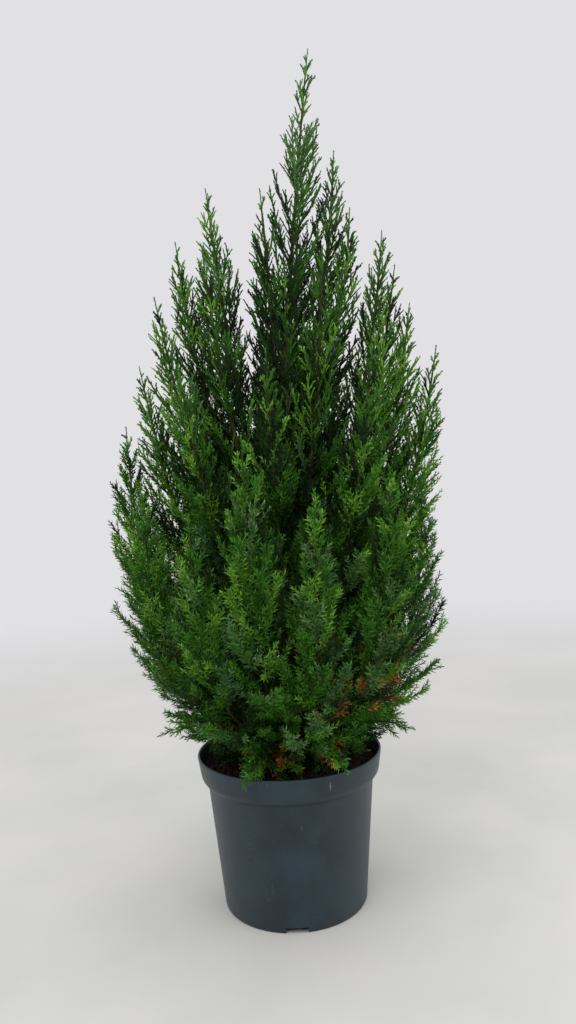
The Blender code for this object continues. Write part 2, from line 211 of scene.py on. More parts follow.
class Plume:
    # the stem of one mass of foliage, from the trunk to its tip, and the space that its shoots fill
    def __init__(self, ring, number, azimuth, reach, height, root):
        self.ring, self.size = ring, rings[ring]
        self.name = f"{ring}_plume_{number}"
        self.boughName = f"{ring}_bough_{number}" if self.size["bough"] else None
        turn = math.radians(azimuth)
        out = np.array([math.cos(turn), math.sin(turn), 0.0])
        base = trunkAxis(root)
        tip = np.array([out[0] * reach, out[1] * reach, height])
        flat = np.array([tip[0] - base[0], tip[1] - base[1], 0.0])
        flatLength = float(np.linalg.norm(flat))
        if ring == "crown":
            out = unit(flat)
        span = flatLength * self.size["bend"]
        first = base + out * span + np.array([0, 0, span * math.tan(math.radians(self.size["rise"]))])
        if height - root > plant["shortRise"]:
            drop = min(plant["uprightShare"] * (height - root), plant["uprightMost"])
            back = self.size["lean"] * drop
        else:
            drop = -plant["droop"]
            back = flatLength * plant["droopBack"]
        second = tip - np.array([0, 0, drop]) - out * back
        t = np.linspace(0, 1, plant["lineSteps"])[:, None]
        self.setLine(base * (1 - t) ** 3 + first * (3 * (1 - t) ** 2 * t)
                     + second * (3 * (1 - t) * t * t) + tip * t ** 3)
        self.foot = self.length * self.size["bough"]

    def setLine(self, line):
        self.line = line
        self.lengths = np.concatenate([[0], np.cumsum(np.linalg.norm(np.diff(line, axis=0), axis=1))])
        self.length = float(self.lengths[-1])

    def at(self, s):
        return np.array([np.interp(s, self.lengths, self.line[:, k]) for k in range(3)])

    def direction(self, s):
        nudge = 0.003
        return unit(self.at(min(s + nudge, self.length)) - self.at(max(s - nudge, 0)))

    def stemRadius(self, s):
        share = min(1.0, s / self.length)
        return self.size["stem"] * (1 - share) ** plant["stemTaper"] + plant["stemTip"] * share

    def reachAt(self, s):
        swell = min(1.0, plant["swellStart"] + (s - self.foot) / plant["swellLength"])
        widened = plant["tipReach"] + self.size["widening"] * (self.length - s)
        return min(self.size["width"], widened) * swell


class Leader(Plume):
    # the mass that ends the trunk and goes on along its line
    def __init__(self):
        self.ring, self.size = "crown", rings["crown"]
        self.name, self.boughName = "leader_plume", None
        heights = np.linspace(plant["trunkTop"], plant["top"], plant["leaderSteps"])
        self.setLine(np.array([trunkAxis(z) for z in heights]))
        self.foot = 0.0

    def stemRadius(self, s):
        return plant["topRadius"] + (plant["stemTip"] - plant["topRadius"]) * s / self.length

    def reachAt(self, s):
        return min(self.size["width"], plant["leaderTipReach"] + self.size["widening"] * (self.length - s))


def allPlumes():
    # plumes that reach out further start lower on the trunk, or by turns high and low
    plumes = [Leader()]
    for ring, size in rings.items():
        low, high = size["roots"]
        spread = sorted((tip[1] for tip in size["plumes"]), reverse=True)
        for k, (azimuth, reach, height) in enumerate(size["plumes"]):
            share = k % 2 if size["alternate"] else spread.index(reach) / (len(spread) - 1)
            plumes.append(Plume(ring, k + 1, azimuth, reach, height, low + (high - low) * share))
    return plumes


# bark: fibrous juniper bark, red-brown with grey ridges along the limb

bark = {
    "ridgeMm": 2.2, "stretch": 0.18,          # ridges are drawn out along the height
    "relief": 0.0009, "sides": 20, "rows": 90,
    "boughRelief": 0.0005, "boughSides": 12, "boughRows": 24,
    "ridgeKept": 0.8, "ridgeNew": 0.45,       # how a ridge changes from one row to the next
    "fullRelief": 0.006,                      # limbs of a smaller radius have less relief
    "clear": 0.0003,                          # gap between the trunk's foot and the soil
    "old": ("#2c1a12", "#745340"), "young": ("#20230e", "#42451f"),
}


def barkMaterial(name, pair):
    # dry fibrous bark has hardly any shine, and its ridges catch the light
    mat, shader, place = newMaterial(name, roughness=0.88, specular=0.3)
    along = addNode(mat, "ShaderNodeMapping", links={"Vector": place},
                    values={"Scale": (1, 1, bark["stretch"])})
    colour, height = twoTone(mat, along.outputs["Vector"], bark["ridgeMm"], *pair, 4.0)
    mat.node_tree.links.new(colour, shader.inputs["Base Color"])
    addBump(mat, shader, height, 0.6, 0.8)
    return mat


def tube(points, radii, sides, relief=0.0, rng=None):
    # quads of a tube round a line of points, with lengthwise ridges where relief is given
    points = np.asarray(points, float)
    tangents = np.gradient(points, axis=0)
    tangents /= np.linalg.norm(tangents, axis=1)[:, None]
    side = unit(np.cross(tangents[0], [0.31, 0.9, 0.2]))
    turn = np.arange(sides) * math.tau / sides
    ridge = np.array([rng.uniform(-1, 1) for _ in range(sides)]) if rng else np.zeros(sides)
    verts = []
    for k, point in enumerate(points):
        side = unit(side - tangents[k] * float(side @ tangents[k]))
        other = np.cross(tangents[k], side)
        if rng:
            change = np.array([rng.uniform(-1, 1) for _ in range(sides)])
            ridge = ridge * bark["ridgeKept"] + change * bark["ridgeNew"]
        r = radii[k] + relief * ridge * min(1.0, radii[k] / bark["fullRelief"])
        verts.append(point + np.outer(np.cos(turn) * r, side) + np.outer(np.sin(turn) * r, other))
    verts = np.concatenate(verts)
    ring = np.arange(sides)
    nextOne = (ring + 1) % sides
    faces = []
    for k in range(len(points) - 1):
        low, high = k * sides, (k + 1) * sides
        faces.append(np.stack([low + ring, low + nextOne, high + nextOne, high + ring], 1))
    # a cap at each end, of quads that have their last corner twice
    foot = np.full(sides, len(verts))
    tip = foot + 1
    verts = np.concatenate([verts, points[:1], points[-1:]])
    last = (len(points) - 1) * sides
    faces.append(np.stack([nextOne, ring, foot, foot], 1))
    faces.append(np.stack([last + ring, last + nextOne, tip, tip], 1))
    return verts, np.concatenate(faces)


def triangles(quads):
    # quads as triangles, without the empty halves of the caps
    tris = np.concatenate([quads[:, [0, 1, 2]], quads[:, [0, 2, 3]]])
    return tris[(tris[:, 1] != tris[:, 2]) & (tris[:, 0] != tris[:, 2])]


def joined(parts):
    # several meshes as one
    verts, faces, base = [], [], 0
    for v, f in parts:
        verts.append(v)
        faces.append(f + base)
        base += len(v)
    return np.concatenate(verts), np.concatenate(faces)


def makeLimbs(plumes, mat):
    rng = random.Random(5)
    heights = np.linspace(plant["soilTop"] + bark["clear"], plant["trunkTop"], bark["rows"])
    verts, quads = tube([trunkAxis(z) for z in heights], [trunkRadius(z) for z in heights],
                        bark["sides"], bark["relief"], rng)
    trunk = meshPiece("trunk_bark", verts, triangles(quads), mat, smooth=True)
    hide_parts("trunk")
    parts, names = [], []
    for p in plumes:
        if p.boughName:
            stations = np.linspace(0, p.foot, bark["boughRows"])
            verts, quads = tube([p.at(s) for s in stations], [p.stemRadius(s) for s in stations],
                                bark["boughSides"], bark["boughRelief"], rng)
            parts.append((verts, triangles(quads)))
            names.append(p.boughName)
    boughs = meshPiece("bough_bark", *joined(parts), mat, smooth=True)
    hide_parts(*names)
    for ob in (trunk, boughs):
        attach(ob, "root")


# foliage: awl needles low on the plant, slender cords of scale leaves near its top

foliage = {
    # the colour is scaled from painted shade at needle roots and on cords to painted light at needle tips
    "seed": 4, "rootPaintedShade": 0.42, "tipPaintedLight": 1.50, "toneMm": 14,
    # shoots on a stem: lean in degrees at the tip and from fullDepth down, lengths in metres
    "angleTop": 19, "angleLow": 30, "fullDepth": 0.35,
    "shortestShoot": 0.010, "longestShoot": 0.120,
    "hug": 0.75, "lift": 0.45,                # how a shoot bends back to its stem, and turns up
    "shootStep": 0.0043, "stepAtTip": 1.35, "stepFall": 0.35,
    "fromTip": 0.006, "fromFoot": 0.010, "rootClear": 0.004,
    "shootPoints": 6, "bareRoot": 0.2,
    # reach of a shoot, as a share of the plume's own: even near the tip, uneven below
    "evenTip": 0.12, "evenReach": (0.75, 1.2), "unevenReach": (0.40, 1.20), "unevenPower": 0.7,
    "strayShare": 0.03, "strayBelow": 0.1, "strayReach": 1.35,
    # inner shoots that nobody sees are left out: the share kept at the trunk, and its growth outwards
    "keptInside": 0.45, "keptOutwards": 1.1,
    # smaller shoots on a shoot: the stretch that bears them, and their spread and lean
    "sideFrom": 0.18, "sideStretch": 0.76, "sideSpread": 1.1, "sideLean": (22, 40), "sideRise": 0.2,
    "sideStrength": 0.9, "sideOwnTone": 0.16,
    "tipLength": 0.07, "blueTipHeight": 0.95,
    # awl needles below these heights, scale leaves above, and a mixture between
    "awlHeight": (0.45, 0.80), "kindNoise": 0.03,
    "awl": {"length": 0.0120, "angle": 47, "width": 0.0019, "cord": 0.0010, "pitch": 0.0016,
            "sideStep": 0.0088, "sideShoot": 0.034},
    "scale": {"length": 0.0064, "angle": 22, "width": 0.0026, "cord": 0.0015, "pitch": 0.0030,
              "sideStep": 0.0060, "sideShoot": 0.024},
    # a needle near the end of its shoot lies closer and is shorter
    "angleLess": 0.45, "lengthLess": 0.35, "roll": 1.2, "fewestNeedles": 3,
    "cordSides": 3, "cordTaper": 0.5,
    "stemSides": 6, "stemShare": 0.8, "stemStep": 0.012, "fewestRows": 8, "stemEnd": 0.03,
    # half width of the whole crown by height, which tells the shoots that nobody sees
    "crownHeights": (0.20, 0.32, 0.53, 0.73, 0.84, 0.93, 1.00, 1.09, 1.20),
    "crownReach": (0.14, 0.195, 0.220, 0.205, 0.180, 0.125, 0.095, 0.050, 0.010),
}

# tones: juniper foliage, waxy, from a dark painted shade for shoots deep inside the crown to a pale painted
# sunlight for those outside it, blue-green where the needles show their bloom
tones = {
    "deep": ("#0e2405", "#1f410c"), "leaf": ("#2f5d12", "#46801e"), "bright": ("#528a20", "#79ab38"),
    "blue": ("#375f2c", "#64904e"), "dry": ("#7a3a14", "#b9672c"),
}

# places where the shoots have died back: centre and radius
drySpots = [
    ((0.135, -0.080, 0.348), 0.036), ((0.085, -0.125, 0.325), 0.034), ((0.134, -0.070, 0.290), 0.036),
    ((0.060, -0.130, 0.300), 0.026), ((-0.154, -0.080, 0.350), 0.022), ((0.040, -0.090, 0.400), 0.026),
    ((-0.010, -0.085, 0.228), 0.026), ((0.045, -0.095, 0.236), 0.024), ((-0.060, -0.090, 0.240), 0.022),
    ((0.060, 0.130, 0.300), 0.034), ((-0.060, 0.150, 0.340), 0.028), ((-0.040, -0.030, 0.290), 0.050),
]


def toneMaterial(name, pair):
    # waxy needles, with painted shade at their roots and on bare cords and painted light at their tips
    mat, shader, place = newMaterial(f"needles_{name}", roughness=0.6, specular=0.25)
    colour, _ = twoTone(mat, place, foliage["toneMm"], *pair, 2.0)
    tip = addNode(mat, "ShaderNodeAttribute", {"attribute_name": "tip"})
    shade = addNode(mat, "ShaderNodeMapRange", links={"Value": tip.outputs["Fac"]},
                    values={"To Min": foliage["rootPaintedShade"], "To Max": foliage["tipPaintedLight"]})
    blend = addNode(mat, "ShaderNodeVectorMath", {"operation": "SCALE"},
                    {0: colour, "Scale": shade.outputs["Result"]})
    mat.node_tree.links.new(blend.outputs["Vector"], shader.inputs["Base Color"])
    return mat


def nearDry(point, rng):
    return any(np.linalg.norm(point - np.array(centre)) < radius * rng.uniform(0.2, 1.2)
               for centre, radius in drySpots) and rng.random() < 0.8


def pickTone(point, inside, rng):
    # painted shade deep inside the crown, painted sunlight outside it and less of it low down, blue-green low
    # down and at the very top
    lowness = 1 - smoothStep(point[2], 0.30, 0.62)
    top = smoothStep(point[2], 0.90, 1.12)
    weights = {"deep": (0.08 + 1.7 * inside) * (1 - top), "leaf": 0.50,
               "bright": 0.38 * (1 - lowness * 0.75) * (1 - inside),
               "blue": 0.05 + 0.26 * lowness + 1.1 * top}
    return rng.choices(list(weights), list(weights.values()))[0]


def exposure(point):
    # 0 at the trunk and 1 at the outside of the crown
    reach = np.interp(point[2], foliage["crownHeights"], foliage["crownReach"])
    middle = trunkAxis(float(point[2]))
    return min(1.0, math.hypot(point[0] - middle[0], point[1] - middle[1]) / reach)


def leafKind(z):
    awl = 1 - smoothStep(z, *foliage["awlHeight"])
    return {key: scale + (foliage["awl"][key] - scale) * awl for key, scale in foliage["scale"].items()}


def shootReach(plume, place, rng):
    below = plume.length - place
    reach = plume.reachAt(place)
    if below > foliage["evenTip"]:
        reach *= rng.uniform(*foliage["unevenReach"]) ** foliage["unevenPower"]
    else:
        reach *= rng.uniform(*foliage["evenReach"])
    stray = rng.random() < foliage["strayShare"] and below > foliage["strayBelow"]
    return reach * (foliage["strayReach"] if stray else 1.0)


def shootLine(plume, low, high, reach, turn):
    # the stem's own line from low to high, moving away from it to the side that turn gives
    axis = plume.direction((low + high) / 2)
    side = unit(np.cross(axis, [0.2, 0.5, 0.84]))
    across = side * math.cos(turn) + np.cross(axis, side) * math.sin(turn)
    across = across + np.array([0, 0, foliage["lift"] * (1 - abs(axis[2]))])
    t = np.linspace(0, 1, foliage["shootPoints"])
    centre = np.array([plume.at(low + (high - low) * share) for share in t])
    away = unit(across - axis * float(across @ axis))
    return centre + np.outer(reach * t ** foliage["hug"], away), axis, across


def growSideShoots(line, length, axis, across, tone, inside, rng, shoots):
    # smaller shoots on both sides of a shoot, the longest near its root
    steps = foliage["shootPoints"] - 1
    t = np.linspace(0, 1, foliage["shootPoints"])
    kind = leafKind(float(line[3][2]))
    count = int(length * 0.8 / kind["sideStep"])
    for k in range(count):
        share = foliage["sideFrom"] + foliage["sideStretch"] * (k + rng.random() * 0.6) / count
        start = np.array([np.interp(share, t, line[:, j]) for j in range(3)])
        segment = int(share * steps)
        direction = unit(line[segment + 1] - line[segment])
        way = (1 if k % 2 else -1) * unit(np.cross(direction, across))
        way = unit(way + unit(across) * rng.uniform(-foliage["sideSpread"], foliage["sideSpread"]))
        lean = math.radians(rng.uniform(*foliage["sideLean"]))
        longest = min(kind["sideShoot"], 0.5 * length)
        sideLength = longest * (1.1 - 0.7 * share) * rng.uniform(0.7, 1.2)
        ahead = unit(direction * math.cos(lean) + way * math.sin(lean))
        own = tone
        if rng.random() < foliage["sideOwnTone"]:
            own = pickTone(start, inside, rng)
        if nearDry(start, rng):
            own = "dry"
        end = start + ahead * sideLength + axis * (foliage["sideRise"] * sideLength)
        shoots[own].append((np.array([start, end]), foliage["sideStrength"], 0.0))


def growShoots(plume, shoots):
    # side shoots round the stem by the golden angle, from its tip down, each with smaller shoots.
    # A shoot is its line, the strength of its needles and the share of it that is bare
    rng = random.Random(f"{foliage['seed']} {plume.name}")
    turn = rng.uniform(0, math.tau)
    place = plume.length - foliage["fromTip"]
    while place > plume.foot + foliage["fromFoot"]:
        depth = min(1.0, (plume.length - place) / foliage["fullDepth"])
        angle = math.radians(foliage["angleTop"] + (foliage["angleLow"] - foliage["angleTop"]) * depth)
        angle *= rng.uniform(0.8, 1.2)
        reach = shootReach(plume, place, rng)
        length = min(max(reach / math.sin(angle), foliage["shortestShoot"]), foliage["longestShoot"])
        root = max(place - length * math.cos(angle), plume.foot + foliage["rootClear"])
        turn += goldenAngle * rng.uniform(0.93, 1.07)
        wider = foliage["stepAtTip"] - foliage["stepFall"] * min(1.0, 4 * depth)
        place -= foliage["shootStep"] * rng.uniform(0.75, 1.25) * wider
        line, axis, across = shootLine(plume, root, place, reach, turn)
        out = exposure(line[-2])
        if rng.random() > foliage["keptInside"] + foliage["keptOutwards"] * out:
            continue
        # how deep in the crown the shoot sits: the deeper it is, the likelier its tone is the painted shade
        inside = max(0.0, 1 - out * 1.08)
        tone = pickTone(line[-2], inside, rng)
        shoots[tone].append((line, 1.0, foliage["bareRoot"]))
        growSideShoots(line, length, axis, across, tone, inside, rng, shoots)
    # the plume's own tip
    tipStart = max(plume.length - foliage["tipLength"], 0)
    stations = np.linspace(tipStart, plume.length, foliage["shootPoints"])
    tipTone = "blue" if plume.line[-1][2] > foliage["blueTipHeight"] else "leaf"
    shoots[tipTone].append((np.array([plume.at(s) for s in stations]), 1.0, 0.0))


def cordMesh(lines, radii):
    # tapering cords of few sides, all with the same number of points
    sides = foliage["cordSides"]
    lines = np.asarray(lines)
    count, rows, _ = lines.shape
    tangents = np.gradient(lines, axis=1)
    tangents /= np.linalg.norm(tangents, axis=2, keepdims=True) + 1e-12
    side = np.cross(tangents, np.array([0.36, 0.48, 0.8]))
    side /= np.linalg.norm(side, axis=2, keepdims=True) + 1e-12
    other = np.cross(tangents, side)
    taper = np.linspace(1.0, foliage["cordTaper"], rows)[None, :, None]
    turn = np.arange(sides) * math.tau / sides
    verts = np.concatenate([lines[:, :, None] + (side * math.cos(a) + other * math.sin(a))[:, :, None]
                            * (np.asarray(radii)[:, None, None] * taper)[:, :, None] for a in turn], axis=2)
    verts = verts.reshape(-1, 3)
    # low values all along each cord, which give the cords painted shade
    tip = np.tile(np.repeat(np.linspace(0.1, 0.5, rows), sides), count)
    base = (np.arange(count) * rows * sides)[:, None, None, None]
    row = (np.arange(rows - 1) * sides)[None, :, None, None]
    ring = np.arange(sides)
    quad = np.stack([ring, (ring + 1) % sides, (ring + 1) % sides + sides, ring + sides], 1)
    quads = (base + row + quad[None, None]).reshape(-1, 4)
    return verts, triangles(quads), tip


def needleMesh(roots, directions, sides, lengths, widths):
    # a needle is a slim blade folded along its middle, widest a little above its root
    fold = np.cross(directions, sides)
    middle = roots + directions * (lengths * 0.4)[:, None] - fold * (widths * 0.25)[:, None]
    half = sides * (widths / 2)[:, None]
    verts = np.stack([roots, middle + half, roots + directions * lengths[:, None], middle - half], 1)
    base = np.arange(len(roots))[:, None, None] * 4
    # 0 at a needle's root and 1 at its tip, which sets its painted shade and painted light
    tip = np.tile([0.0, 0.55, 1.0, 0.55], len(roots))
    return verts.reshape(-1, 3), (base + np.array([[0, 1, 2], [0, 2, 3]])[None]).reshape(-1, 3), tip


def needlesOn(line, strength, bare, kind, rng):
    # roots, directions, flat sides, lengths and widths of the needles round one shoot
    length = float(np.linalg.norm(line[-1] - line[0]))
    count = max(foliage["fewestNeedles"], int(length * (1 - bare) / kind["pitch"]))
    t = bare + (1 - bare) * (np.arange(count) + rng.random(count) * 0.5) / count
    roots = np.stack([np.interp(t, np.linspace(0, 1, len(line)), line[:, k]) for k in range(3)], 1)
    axis = unit(line[-1] - line[0])
    side = unit(np.cross(axis, [0.21, 0.43, 0.88]))
    turn = np.arange(count) * goldenAngle + rng.uniform(0, math.tau)
    radial = np.outer(np.cos(turn), side) + np.outer(np.sin(turn), np.cross(axis, side))
    angle = np.radians(kind["angle"] * (1 - foliage["angleLess"] * t ** 3)) * rng.uniform(0.85, 1.15, count)
    ways = axis * np.cos(angle)[:, None] + radial * np.sin(angle)[:, None]
    lengths = kind["length"] * (1 - foliage["lengthLess"] * t) * rng.uniform(0.8, 1.15, count) * strength
    flat = np.cross(ways, axis)
    flat /= np.linalg.norm(flat, axis=1, keepdims=True) + 1e-9
    roll = rng.uniform(-foliage["roll"], foliage["roll"], count)[:, None]
    flat = flat * np.cos(roll) + np.cross(ways, flat) * np.sin(roll)
    return roots, ways, flat, lengths, np.full(count, kind["width"])


def dressShoots(shoots, rng):
    # cords and needles of one group of shoots, and how near to a needle's tip each point is, which sets the
    # painted shade at roots and the painted light at tips
    cords, needles = {}, []
    for line, strength, bare in shoots:
        kind = leafKind(float(line[-1][2]) + rng.normal(0, foliage["kindNoise"]))
        cords.setdefault(len(line), []).append((line, kind["cord"] * strength))
        needles.append(needlesOn(line, strength, bare, kind, rng))
    parts = [cordMesh([c[0] for c in group], [c[1] for c in group]) for group in cords.values()]
    parts.append(needleMesh(*(np.concatenate(column) for column in zip(*needles))))
    verts, faces = joined([part[:2] for part in parts])
    return verts, faces, np.concatenate([part[2] for part in parts])


def makeTwigs(ring, group, mat):
    stems = []
    for p in group:
        rows = max(foliage["fewestRows"], int((p.length - p.foot) / foliage["stemStep"]))
        stations = np.linspace(p.foot, p.length - foliage["stemEnd"], rows)
        verts, quads = tube([p.at(s) for s in stations],
                            [p.stemRadius(s) * foliage["stemShare"] for s in stations], foliage["stemSides"])
        stems.append((verts, triangles(quads)))
    twigs = meshPiece(f"twigs_{ring}", *joined(stems), mat, smooth=True)
    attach(twigs, "root")


def makeFoliage(plumes, twigLook):
    looks = {name: toneMaterial(name, pair) for name, pair in tones.items()}
    total = 0
    for ring in rings:
        group = [p for p in plumes if p.ring == ring]
        makeTwigs(ring, group, twigLook)
        shoots = {name: [] for name in tones}
        for p in group:
            growShoots(p, shoots)
        for name, mine in shoots.items():
            if not mine:
                continue
            verts, faces, tip = dressShoots(mine, np.random.default_rng([foliage["seed"], len(mine)]))
            ob = meshPiece(f"needles_{ring}_{name}", verts, faces, looks[name])
            # the value that sets the painted shade at roots and the painted light at tips
            ob.data.attributes.new("tip", "FLOAT", "POINT").data.foreach_set("value", tip.astype(np.float32))
            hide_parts(*[p.name for p in group])
            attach(ob, "root")
            total += len(faces)
            print("needles", ring, name, len(mine), "shoots", len(faces), "faces")
    print("foliage faces", total)


# pot: moulded polypropylene, satin, with dust, small marks and broad clouds of painted soft reflection

pot = {
    "lip": 0.131, "height": 0.216, "wall": 0.0022, "sides": 144,
    # deep is the pot's own colour, high a paler one painted in broad clouds as soft reflection, dust the
    # colour of dust specks
    "deep": "#091e28", "high": "#1a3441", "dust": "#3a4448",
    "cloudMm": 60, "dustMm": 3.5,
    "notches": 3, "notchReach": 0.106, "notchSize": (0.030, 0.030, 0.016),
    # marks: place in metres, half sizes in mm, colour and strength
    "marks": [
        ((0.052, -0.118, 0.201), (1.2, 4, 9), "#7d8a90", 1.2),
        ((-0.078, -0.104, 0.200), (3.5, 8, 14), "#2e221b", 1.5),
        ((-0.085, -0.080, 0.110), (4, 8, 3), "#0c0d0d", 1.6),
        ((-0.058, -0.096, 0.098), (4, 8, 4), "#0c0d0d", 1.6),
        ((0.044, -0.093, 0.009), (9, 10, 3), "#3b2620", 1.5),
        ((-0.030, -0.110, 0.060), (3, 10, 16), "#4b6468", 0.8),
    ],
}


def addMark(mat, place, dust, under, centre, size, hexColour, strength):
    # a small smudge over the colour under it, strongest in its middle and broken up by the dust
    shift = addNode(mat, "ShaderNodeMapping", {"vector_type": "TEXTURE"}, {"Vector": place},
                    {"Location": centre, "Scale": [v / 1000 for v in size]})
    far = addNode(mat, "ShaderNodeVectorMath", {"operation": "LENGTH"}, {0: shift.outputs["Vector"]})
    fade = addNode(mat, "ShaderNodeMapRange", links={"Value": far.outputs["Value"]},
                   values={"From Min": 0.3, "From Max": 1.0, "To Min": strength, "To Max": 0.0})
    broken = addNode(mat, "ShaderNodeMath", {"operation": "MULTIPLY"}, {0: fade.outputs["Result"], 1: dust})
    smudge = addNode(mat, "ShaderNodeMix", {"data_type": "RGBA"}, {"Factor": broken.outputs["Value"]})
    mat.node_tree.links.new(under, smudge.inputs["A"])
    smudge.inputs["B"].default_value = linear(hexColour)
    return smudge.outputs["Result"]


def potMaterial():
    # polypropylene has a soft sheen, and dust that dulls it in specks. Its colour is broken by broad clouds
    # of painted soft reflection, and its roughness follows the same clouds
    mat, shader, place = newMaterial("mouldedPolypropylene", roughness=0.42)
    colour, cloud = twoTone(mat, place, pot["cloudMm"], pot["deep"], pot["high"], 5.0, 0.3, 0.7)
    dust = addNode(mat, "ShaderNodeTexNoise", links={"Vector": place},
                   values={"Scale": perMetre(pot["dustMm"]), "Detail": 6.0})
    speck = addNode(mat, "ShaderNodeValToRGB", links={"Fac": dust.outputs["Fac"]})
    speck.color_ramp.elements[0].position = 0.63
    speck.color_ramp.elements[1].position = 0.74
    dusty = addNode(mat, "ShaderNodeMix", {"data_type": "RGBA"}, {"Factor": speck.outputs["Color"]})
    mat.node_tree.links.new(colour, dusty.inputs["A"])
    dusty.inputs["B"].default_value = linear(pot["dust"])
    worn = dusty.outputs["Result"]
    for mark in pot["marks"]:
        worn = addMark(mat, place, dust.outputs["Fac"], worn, *mark)
    rough = addNode(mat, "ShaderNodeMapRange", links={"Value": cloud},
                    values={"To Min": 0.32, "To Max": 0.55})
    mat.node_tree.links.new(worn, shader.inputs["Base Color"])
    mat.node_tree.links.new(rough.outputs["Result"], shader.inputs["Roughness"])
    addBump(mat, shader, dust.outputs["Fac"], 0.06, 0.3)
    return mat


def turned(name, profile, sides):
    # a circle drawn out ring by ring along a profile of radius and height
    clearSelection()
    radius, height = profile[0]
    bpy.ops.mesh.primitive_circle_add(vertices=sides, radius=radius, fill_type="NGON",
                                      location=(0, 0, height))
    ob = bpy.context.object
    ob.name = ob.data.name = name
    bpy.ops.object.mode_set(mode="EDIT")
    bpy.ops.mesh.select_mode(type="FACE")
    bpy.ops.mesh.select_all(action="SELECT")
    for nextRadius, nextHeight in profile[1:]:
        bpy.ops.mesh.extrude_region_move(TRANSFORM_OT_translate={"value": (0, 0, nextHeight - height)})
        share = nextRadius / radius
        bpy.ops.transform.resize(value=(share, share, 1), center_override=(0, 0, nextHeight))
        radius, height = nextRadius, nextHeight
    bpy.ops.mesh.select_all(action="SELECT")
    bpy.ops.mesh.normals_make_consistent(inside=False)
    bpy.ops.object.mode_set(mode="OBJECT")
    bpy.ops.object.transform_apply(location=True, rotation=True, scale=True)
    return ob


def cutNotch(ob, turn):
    # a drainage notch in the foot, at that turn round the pot
    reach = pot["notchReach"]
    clearSelection()
    bpy.ops.mesh.primitive_cube_add(size=1, location=(math.cos(turn) * reach, math.sin(turn) * reach, 0))
    cutter = bpy.context.object
    cutter.scale = pot["notchSize"]
    cutter.rotation_euler.z = turn + math.pi / 2
    bpy.ops.object.transform_apply(location=True, rotation=True, scale=True)
    cut = ob.modifiers.new("notch", "BOOLEAN")
    cut.operation = "DIFFERENCE"
    cut.object = cutter
    selectOnly(ob)
    bpy.ops.object.modifier_apply(modifier="notch")
    bpy.data.objects.remove(cutter)


def makePot(mat):
    lip, top, wall = pot["lip"], pot["height"], pot["wall"]
    # radius and height from the foot's edge up to the lip, then down inside to the floor's middle
    profile = [
        (0.0990, 0.0), (0.1005, 0.0004), (0.1020, 0.0030), (0.1180, 0.1755), (0.1187, 0.1766),
        (0.1210, 0.1790), (0.1238, 0.1818), (0.1260, 0.1852), (0.1272, 0.1885), (0.1276, 0.1910),
        (lip - 0.0005, top - 0.0062), (lip - 0.0001, top - 0.0030), (lip, top - 0.0014),
        (lip - 0.0004, top - 0.0004), (lip - 0.0012, top), (lip - wall, top - 0.0002),
        (lip - wall - 0.0008, top - 0.0012), (lip - wall - 0.0012, top - 0.0040),
        (0.1276 - wall, 0.1920), (0.1180 - wall, 0.1772), (0.1000 - wall, 0.0032), (0.020, 0.0030),
    ]
    ob = turned("pot_body", profile, pot["sides"])
    for k in range(pot["notches"]):
        cutNotch(ob, math.tau * k / pot["notches"] - math.pi / 2)
    selectOnly(ob)
    bpy.ops.object.shade_smooth_by_angle(angle=math.radians(32))
    ob.data.materials.clear()
    ob.data.materials.append(mat)
    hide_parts("pot")
    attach(ob, "root")


# soil: moist peat with bark crumbs, flat round the trunk

soil = {
    "radius": 0.1238, "edge": 0.199, "flatRadius": 0.05,
    "rings": 46, "sides": 120, "evenRings": 5,
    "wave": 0.0011, "grain": 0.0006,
    "wallRings": [(0.1240, 0.190), (0.1148, 0.1775)], "footRadius": 0.0968,
    "crumbs": 1500, "crumbSize": (0.0012, 0.0034), "crumbMargin": 0.006, "crumbRise": 0.25,
    "deep": "#0d0705", "high": "#33211a",
}


def soilMaterial():
    # moist peat is nearly black and matt, with paler fibres
    mat, shader, place = newMaterial("moistPeat", roughness=0.95, specular=0.25)
    colour, height = twoTone(mat, place, 5, soil["deep"], soil["high"], 8.0)
    mat.node_tree.links.new(colour, shader.inputs["Base Color"])
    addBump(mat, shader, height, 0.8, 1.5)
    return mat


def soilHeight(x, y):
    # lower towards the pot's wall, with waves about 30 mm and 10 mm long away from the trunk
    r = math.hypot(x, y)
    fall = (plant["soilTop"] - soil["edge"]) * smoothStep(r, soil["flatRadius"], soil["radius"])
    waves = math.sin(x * 210 + 1.3) * math.cos(y * 190) + 0.6 * math.sin(x * 480 + y * 390)
    return plant["soilTop"] - fall + soil["wave"] * waves * smoothStep(r, 0.016, 0.04)


